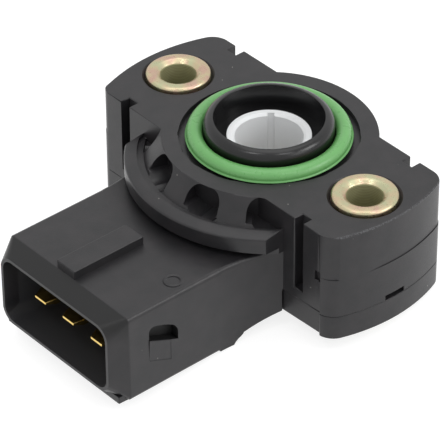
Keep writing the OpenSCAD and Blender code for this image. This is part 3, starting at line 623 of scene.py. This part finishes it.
def fine_ears(place):
    """Ears, in mm: the step at the seam runs out between -21 and -7 degrees, the right ear's front
    wall draws in towards its foot, by 0.35 mm, where its corner starts, and the left ear's front
    corner is sharper: its round goes from 2.4 to 1.4 mm about a centre nearer to the corner."""
    radius, z = np.hypot(place[:, 0], place[:, 1]), place[:, 2]
    angle = np.degrees(np.arctan2(place[:, 1], place[:, 0]))
    shut = np.interp(angle, [-22, -20, -10, -5], [0, 1, 1, 0])
    upper = (np.abs(radius - 21.41) < 0.02) & (z > -5.95)
    turned_place(place, upper, radius + 0.09 * shut, z)
    corner = (np.abs(place[:, 0] - 18.03) < 0.08) & (np.abs(place[:, 1] + 8.7) < 0.03)
    place[corner, 1] += 0.35 * np.clip(-z[corner] / 11.1, 0, 1)
    for x, new_x in ((-18.03, -18.73), (-17.94, -18.64)):
        offset = place[:, :2] - (x, -6.3)
        rounded = (np.abs(np.hypot(*offset.T) - 2.4) < 0.02) & (offset.max(axis=1) < 0.9)
        place[rounded, :2] = np.array((new_x, -7.3)) + offset[rounded] * 1.4 / 2.4
    return place


def fine_clips(place):
    """Clip recesses, in mm: the flat under each is only 0.03 mm deep, and both are skewed, with z
    raised by 0.45 - 0.42 (y + 24.9)."""
    x, y, z = place.T
    floor = (np.abs(np.abs(x) - 10.2) < 0.02) & (z < -11.3) & (z > -14.3) & (y < -22) & (y > -28)
    skewed = (np.abs(x) > 9.2) & (y > -27.02) & (y < -22.78) & (z > -14.25) & (z < -9.25)
    place[skewed, 2] += 0.45 - 0.42 * (y[skewed] + 24.9)
    place[floor, 0] = np.sign(x[floor]) * 10.42
    return place


def fine_foot(place):
    """Foot under the mouth, in mm: its upper face, at z = -16.44, rises by 0.26 towards the
    tapered rim, so that less of a crevice is left under the rim's corners."""
    upper = (np.abs(place[:, 2] + 16.44) < 0.02) & (place[:, 1] < -30.2)
    place[upper, 2] += 0.26
    return place


def fine_housing(place):
    """All finer forms of the housing."""
    for step in (fine_ring, fine_hollows, fine_collar, fine_groove, fine_ears, fine_clips,
                 fine_foot):
        place = step(place)
    return place


def fine_rotor(place):
    """Rotor, in mm: its key groove, at 135.5 degrees, is only a third as deep, 0.1, and the sides
    of its notch at the rim lie on the rim's cone z = radius - 4.37."""
    radius, z = np.hypot(place[:, 0], place[:, 1]), place[:, 2]
    angle = np.degrees(np.arctan2(place[:, 1], place[:, 0]))
    groove = (radius > 4.1) & (radius < 4.4) & (z < -0.4)
    turned_place(place, groove, 4.0 + (radius - 4.0) / 3, z)
    notch = (radius > 4.02) & (radius < 4.4) & (z > -0.36) & (np.abs(angle - 135.5) < 7)
    rim = notch & (radius > 4.31)
    turned_place(place, rim, np.full_like(radius, 4.301), z)
    side = notch & ~rim
    place[side, 2] = np.clip(radius[side] - 4.37, -0.37, -0.07)
    return place


def housing_bevels(first, second):
    """Share of the bevel of each edge, from its two ends in mm: 4 on the upper edge of the neck's
    flare, 1 elsewhere."""
    flare = np.ones(len(first), bool)
    for end in (first, second):
        x, y, z = np.abs(end[:, 0]), end[:, 1], end[:, 2]
        flare &= (np.abs(z + 5.5) < 0.03) & (x > 10.3) & (x < 12.4) & (y > -16.6) & (y < -8.6)
    return np.where(flare, 4.0, 1.0)


# Sizes and colours that a user can change


class SensorSizes(bpy.types.PropertyGroup):
    """Sizes of the dressed pieces, in metres."""

    edge_round: FloatProperty(
        name="Edge rounding", description="Width of the rounding on the mouldings' edges",
        default=0.13 * MM, min=0.02 * MM, max=0.3 * MM, precision=5, unit="LENGTH")
    bush_round: FloatProperty(
        name="Bush rounding", description="Radius of the outer edges of the fixing bushes",
        default=0.5 * MM, min=0.1 * MM, max=0.8 * MM, precision=5, unit="LENGTH")
    sink_width: FloatProperty(
        name="Countersink width", description="Width of the countersink at a bush's hole",
        default=0.6 * MM, min=0.3 * MM, max=0.9 * MM, precision=5, unit="LENGTH")
    sink_depth: FloatProperty(
        name="Countersink depth", description="Depth of the countersink at a bush's hole",
        default=0.4 * MM, min=0.2 * MM, max=0.6 * MM, precision=5, unit="LENGTH")
    flash_height: FloatProperty(
        name="Lip reach", description="Reach of the thin lip of flash round the sealing ring",
        default=0.2 * MM, min=0.0, max=0.4 * MM, precision=5, unit="LENGTH")
    seal_spread: FloatProperty(
        name="Seal spread", description="How much the squeezed seal widens to each side",
        default=0.065 * MM, min=0.0, max=0.1 * MM, precision=5, unit="LENGTH")
    blade_round: FloatProperty(
        name="Blade rounding", description="Width of the rounding on the blades' edges",
        default=0.06 * MM, min=0.01 * MM, max=0.1 * MM, precision=5, unit="LENGTH")
    turns: IntProperty(
        name="Steps round a turned piece", description="Number of steps round each turned piece",
        default=192, min=48, max=512)


def colour_property(name, description, hex_colour):
    """Colour setting with its sRGB hex default turned to linear."""
    return FloatVectorProperty(name=name, description=description, subtype="COLOR", size=3,
                               min=0.0, max=1.0, default=linear(hex_colour)[:3])


class SensorColours(bpy.types.PropertyGroup):
    """Colours of the finishes, linear."""

    plastic: colour_property("Housing", "Black plastic of the housing", "#1d1d1f")
    plastic_haze: colour_property("Housing haze", "Paler cloud in the black plastic", "#272527")
    cover: colour_property("Cover", "Black plastic of the rear cover", "#1b1b1d")
    rubber: colour_property("Seal", "Green rubber of the sealing ring", "#6aa862")
    rubber_shade: colour_property("Seal shade", "Deeper green cloud in the rubber", "#5c9a56")
    bush_gold: colour_property("Bush gold", "Passivated steel, main tone", "#c4b494")
    bush_pink: colour_property("Bush pink", "Passivated steel, pink tint", "#c3a592")
    bush_green: colour_property("Bush green", "Passivated steel, green tint", "#b9b996")
    white: colour_property("Rotor", "White plastic of the rotor", "#e8e9ea")
    white_shade: colour_property("Rotor shade", "Greyer cloud in the rotor's plastic", "#e7e9ea")
    blade: colour_property("Blades", "Gold flash of the blades", "#f0d486")
    blade_stain: colour_property("Blade stain", "Deeper stain on the blades", "#dbb765")


# Operators, one for each piece or group of like pieces


class SENSOR_OT_housing(bpy.types.Operator):
    """Dress the housing moulding, with eased edges"""

    bl_idname = "sensor.housing"
    bl_label = "Housing"

    def execute(self, context):
        sizes = context.scene.sensor_sizes
        eased_copy("housing", "housing_moulding", "housing_plastic", FIXED,
                   sizes.edge_round / MM, segments=3, smooth_angle=16,
                   reshape=fine_housing, broader=housing_bevels)
        return {"FINISHED"}


class SENSOR_OT_rear_cover(bpy.types.Operator):
    """Dress the rear cover moulding, with eased edges"""

    bl_idname = "sensor.rear_cover"
    bl_label = "Rear cover"

    def execute(self, context):
        sizes = context.scene.sensor_sizes
        eased_copy("rear_cover", "rear_cover_moulding", "cover_plastic", FIXED,
                   sizes.edge_round / MM, reshape=fine_ears)
        return {"FINISHED"}


class SENSOR_OT_bushes(bpy.types.Operator):
    """Turn the two fixing bushes"""

    bl_idname = "sensor.bushes"
    bl_label = "Fixing bushes"

    def execute(self, context):
        sizes = context.scene.sensor_sizes
        hole = MOUNTS["fixing_holes"]["dims"]["hole_r_mm"] * MM
        for side in ("left", "right"):
            low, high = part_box("bush_" + side)
            centre, outer = ((low.x + high.x) / 2, (low.y + high.y) / 2), (high.x - low.x) / 2
            wide, deep, edge, soft = sizes.sink_width, sizes.sink_depth, sizes.bush_round, 0.2 * MM
            corners = [(hole + wide, high.z), (outer, high.z), (outer, low.z),
                       (hole + wide, low.z), (hole, low.z + deep), (hole, high.z - deep)]
            profile = eased_profile(corners, [soft, edge, edge, soft, soft, soft], steps=9)
            points = turned_points(profile, centre, sizes.turns)
            faces = outward(points, grid_faces(sizes.turns, len(profile), True, True))
            piece = surface_piece(f"bush_{side}_turned", points, faces, "passivated_steel", FIXED)
            # The tool's path: distance from the axis on the faces, height along the bore and side
            tool = piece.data.attributes.new("tool_mm", "FLOAT", "POINT")
            reach = np.hypot(points[:, 0] - centre[0], points[:, 1] - centre[1]) + points[:, 2]
            tool.data.foreach_set("value", (reach / MM).astype(np.float32))
            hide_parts("bush_" + side)
        return {"FINISHED"}


class SENSOR_OT_sealing_ring(bpy.types.Operator):
    """Mould the sealing ring, with its line of flash"""

    bl_idname = "sensor.sealing_ring"
    bl_label = "Sealing ring"

    def execute(self, context):
        sizes = context.scene.sensor_sizes
        low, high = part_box("sealing_ring")
        section = (high.z - low.z) / 2
        middle, height = high.x - section, (high.z + low.z) / 2
        steps, round_steps = 120, 2 * sizes.turns
        # Section angle v, ring angle u: r = middle + b + (s + b) cos v, z = height + s sin v, where
        # the squeezed section is broader by b on each side of its middle, and s swells by the
        # lip's reach round v0 = flash_at as exp(-((v - v0) / flash_width)^2) and wavers with u
        v = np.linspace(0, 2 * math.pi, steps, endpoint=False)[None, :]
        u = np.linspace(0, 2 * math.pi, round_steps, endpoint=False)[:, None]
        flash_at, flash_width = math.radians(-14), 0.065
        apart = np.angle(np.exp(1j * (v - flash_at)))
        waver = 1 + 0.06 * np.sin(7 * u + 1.0) * np.sin(11 * u)
        swell = (sizes.flash_height * np.exp(-(apart / flash_width) ** 2) - 0.01 * MM) * waver
        s = section + swell - 0.004 * MM * (1 + np.sin(3 * u + 0.4))
        radius = middle + sizes.seal_spread + (s + sizes.seal_spread) * np.cos(v)
        points = np.stack([radius * np.cos(u), radius * np.sin(u), height + s * np.sin(v)],
                          axis=-1).reshape(-1, 3)
        faces = outward(points, grid_faces(round_steps, steps, True, True))
        piece = surface_piece("sealing_ring_moulded", points, faces, "green_rubber", FIXED,
                              smooth_angle=60)
        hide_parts("sealing_ring")
        return {"FINISHED"}


class SENSOR_OT_rotor(bpy.types.Operator):
    """Dress the rotor, with eased edges"""

    bl_idname = "sensor.rotor"
    bl_label = "Rotor"

    def execute(self, context):
        eased_copy("rotor", "rotor_moulding", "white_plastic", TURNING, 0.08, reshape=fine_rotor)
        return {"FINISHED"}


class SENSOR_OT_blades(bpy.types.Operator):
    """Dress the three terminal blades, with stamped edges"""

    bl_idname = "sensor.blades"
    bl_label = "Terminal blades"

    def execute(self, context):
        sizes = context.scene.sensor_sizes
        for place in ("left", "middle", "right"):
            eased_copy("terminal_" + place, f"blade_{place}_stamped", "terminal_brass", FIXED,
                       sizes.blade_round / MM)
        return {"FINISHED"}


class SENSOR_OT_inner_parts(bpy.types.Operator):
    """Give the parts inside the housing their finishes"""

    bl_idname = "sensor.inner_parts"
    bl_label = "Inner parts"

    finishes = {
        "cover_bead": "sealing_compound", "thrust_washer": "washer_plastic",
        "spring_washer": "spring_steel", "return_spring": "spring_steel",
        "contact_carrier": "carrier_plastic", "contact_outer": "contact_alloy",
        "contact_inner": "contact_alloy", "track_board": "board_laminate",
        "resistive_track": "carbon_ink", "collector_track": "silver_ink",
        "solder_studs": "solder",
    }

    def execute(self, context):
        for node, slot in self.finishes.items():
            for place in NODES[node].material_slots:
                place.material = finish(slot)
        return {"FINISHED"}


# Stage

# Camera solved from the photograph: pixels, metres and degrees
FRAME_PIXELS = 440
FOCAL_PIXELS = 3323.5
ORIGIN_PIXEL = (269.2, 133.4)
VIEW_DEPTH = 382.2 * MM
VIEW_AZIMUTH, VIEW_HEIGHT, VIEW_ROLL = 49.35, 36.73, -0.43
# Lamps that face the origin: name, place and width in metres, power in watts
LAMPS = (
    ("overhead box", (-0.1, 0.15, 0.7), 0.5, 0.9),
    ("near left box", (0.02, -0.26, 0.5), 0.09, 0.26),
    ("near right box", (0.29, -0.02, 0.5), 0.09, 0.22),
    ("right box", (0.5, 0.12, 0.3), 0.3, 0.4),
    ("far right box", (0.36, 0.3, 0.36), 0.2, 0.6),
)
# Floor: half its width in metres, its grid lines, and the y of the two edges that rest on it
FLOOR_REACH, FLOOR_LINES = 1.5, 13
HEEL_Y, BACK_Y = -14.7 * MM, 12.7 * MM


def studio_material(name, tree, shown, unseen):
    """Mixes what camera, glossy and transmission rays meet with what lights the object."""
    rays = add_node(tree, "LightPath")
    seen = add_node(tree, "Math", {0: rays.outputs["Is Camera Ray"],
                                   1: rays.outputs["Is Glossy Ray"]}, operation="MAXIMUM")
    seen = add_node(tree, "Math", {0: seen.outputs[0], 1: rays.outputs["Is Transmission Ray"]},
                    operation="MAXIMUM")
    return add_node(tree, "MixShader", {0: seen.outputs[0], 1: unseen, 2: shown}, label=name)


class SENSOR_OT_stage(bpy.types.Operator):
    """Set the pale floor, the lamps, the surroundings and the camera"""

    bl_idname = "sensor.stage"
    bl_label = "Stage"

    def floor(self):
        """Plain sheet through the two lines that the sensor rests on: the connector's heel edge
        and the body's back edge. Height z = heel z + slope (y - heel y) on a square grid."""
        slope = (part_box("rear_cover")[0].z - CAD_BOX[0].z) / (BACK_Y - HEEL_Y)
        line = np.linspace(-FLOOR_REACH, FLOOR_REACH, FLOOR_LINES)
        x, y = np.meshgrid(line, line, indexing="ij")
        points = np.stack([x, y, CAD_BOX[0].z + slope * (y - HEEL_Y)], axis=-1).reshape(-1, 3)
        mesh = bpy.data.meshes.new("floor")
        faces = grid_faces(FLOOR_LINES, FLOOR_LINES, False, False)
        mesh.from_pydata(points.tolist(), [], faces.tolist())
        material = bpy.data.materials.new("White card floor")
        material.use_nodes = True
        tree = material.node_tree
        tree.nodes.clear()
        card = add_node(tree, "BsdfDiffuse", values={"Color": linear("#e6e6e6")})
        dim = add_node(tree, "BsdfDiffuse", values={"Color": linear("#a0a0a0")})
        glow = add_node(tree, "Emission", values={"Color": linear("#ffffff"), "Strength": 0.8})
        white = add_node(tree, "AddShader", {0: dim.outputs[0], 1: glow.outputs[0]})
        mixed = studio_material("floor", tree, white.outputs[0], card.outputs[0])
        add_node(tree, "OutputMaterial", {"Surface": mixed.outputs[0]})
        mesh.materials.append(material)
        sheet = bpy.data.objects.new("floor", mesh)
        bpy.context.scene.collection.objects.link(sheet)

    def surroundings(self):
        """Even white room: plain white to the camera and in reflections, softer as a light."""
        world = bpy.data.worlds.new("White room")
        bpy.context.scene.world = world
        world.use_nodes = True
        tree = world.node_tree
        tree.nodes.clear()
        white = add_node(tree, "Background", values={"Color": linear("#ffffff"), "Strength": 1.0})
        soft = add_node(tree, "Background", values={"Color": linear("#ffffff"), "Strength": 0.78})
        mixed = studio_material("room", tree, white.outputs[0], soft.outputs[0])
        add_node(tree, "OutputWorld", {"Surface": mixed.outputs[0]})

    def lamp(self, name, place, size, watts):
        """Square soft box that faces the origin."""
        light = bpy.data.lights.new(name, "AREA")
        light.shape, light.size, light.energy = "SQUARE", size, watts
        lamp = bpy.data.objects.new(name, light)
        lamp.location = place
        lamp.rotation_euler = (-Vector(place)).to_track_quat("-Z", "Y").to_euler()
        bpy.context.scene.collection.objects.link(lamp)

    def camera(self, scene):
        """Camera at the photograph's angle. Back, right and up come from the azimuth, the height
        and the roll; the place is set so that the origin falls on its pixel at its depth."""
        azimuth, height, roll = map(math.radians, (VIEW_AZIMUTH, VIEW_HEIGHT, VIEW_ROLL))
        back = Vector((math.sin(azimuth) * math.cos(height), -math.cos(azimuth) * math.cos(height),
                       math.sin(height)))
        level = Vector((math.cos(azimuth), math.sin(azimuth), 0))
        upright = back.cross(level)
        right = level * math.cos(roll) + upright * math.sin(roll)
        up = back.cross(right)
        aside = (ORIGIN_PIXEL[0] - FRAME_PIXELS / 2) / FOCAL_PIXELS * VIEW_DEPTH
        below = (ORIGIN_PIXEL[1] - FRAME_PIXELS / 2) / FOCAL_PIXELS * VIEW_DEPTH
        place = back * VIEW_DEPTH - right * aside + up * below
        view = bpy.data.cameras.new("camera")
        view.sensor_width = 36.0
        view.lens = view.sensor_width * FOCAL_PIXELS / FRAME_PIXELS
        view.clip_start, view.clip_end = 0.01, 10.0
        camera = bpy.data.objects.new("camera", view)
        turned = Matrix((right, up, back)).transposed().to_4x4()
        camera.matrix_world = Matrix.Translation(place) @ turned
        scene.collection.objects.link(camera)
        scene.camera = camera

    def execute(self, context):
        scene = context.scene
        scene.view_settings.view_transform = "Standard"
        self.camera(scene)
        self.floor()
        self.surroundings()
        for name, place, size, watts in LAMPS:
            self.lamp(name, place, size, watts)
        return {"FINISHED"}


class SENSOR_PT_panel(bpy.types.Panel):
    """Sidebar panel that lists the operators and their settings"""

    bl_idname = "SENSOR_PT_panel"
    bl_label = "Throttle position sensor"
    bl_space_type = "VIEW_3D"
    bl_region_type = "UI"
    bl_category = "Sensor"

    def draw(self, context):
        layout = self.layout
        for operator in OPERATORS:
            layout.operator(operator.bl_idname)
        for group in (context.scene.sensor_sizes, context.scene.sensor_colours):
            box = layout.box()
            for key in group.bl_rna.properties.keys():
                if key not in ("rna_type", "name"):
                    box.prop(group, key)


OPERATORS = (
    SENSOR_OT_housing,
    SENSOR_OT_rear_cover,
    SENSOR_OT_bushes,
    SENSOR_OT_sealing_ring,
    SENSOR_OT_rotor,
    SENSOR_OT_blades,
    SENSOR_OT_inner_parts,
    SENSOR_OT_stage,
)
CLASSES = (SensorSizes, SensorColours, *OPERATORS, SENSOR_PT_panel)


def register():
    """Registers the classes and puts the settings on the scene."""
    for cls in CLASSES:
        bpy.utils.register_class(cls)
    bpy.types.Scene.sensor_sizes = PointerProperty(type=SensorSizes)
    bpy.types.Scene.sensor_colours = PointerProperty(type=SensorColours)


def unregister():
    """Takes the settings and the classes away again."""
    del bpy.types.Scene.sensor_colours
    del bpy.types.Scene.sensor_sizes
    for cls in reversed(CLASSES):
        bpy.utils.unregister_class(cls)


def main():
    """Registers the classes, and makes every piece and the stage."""
    register()
    for operator in OPERATORS:
        group, name = operator.bl_idname.split(".")
        getattr(getattr(bpy.ops, group), name)()


if __name__ == "__main__":
    main()
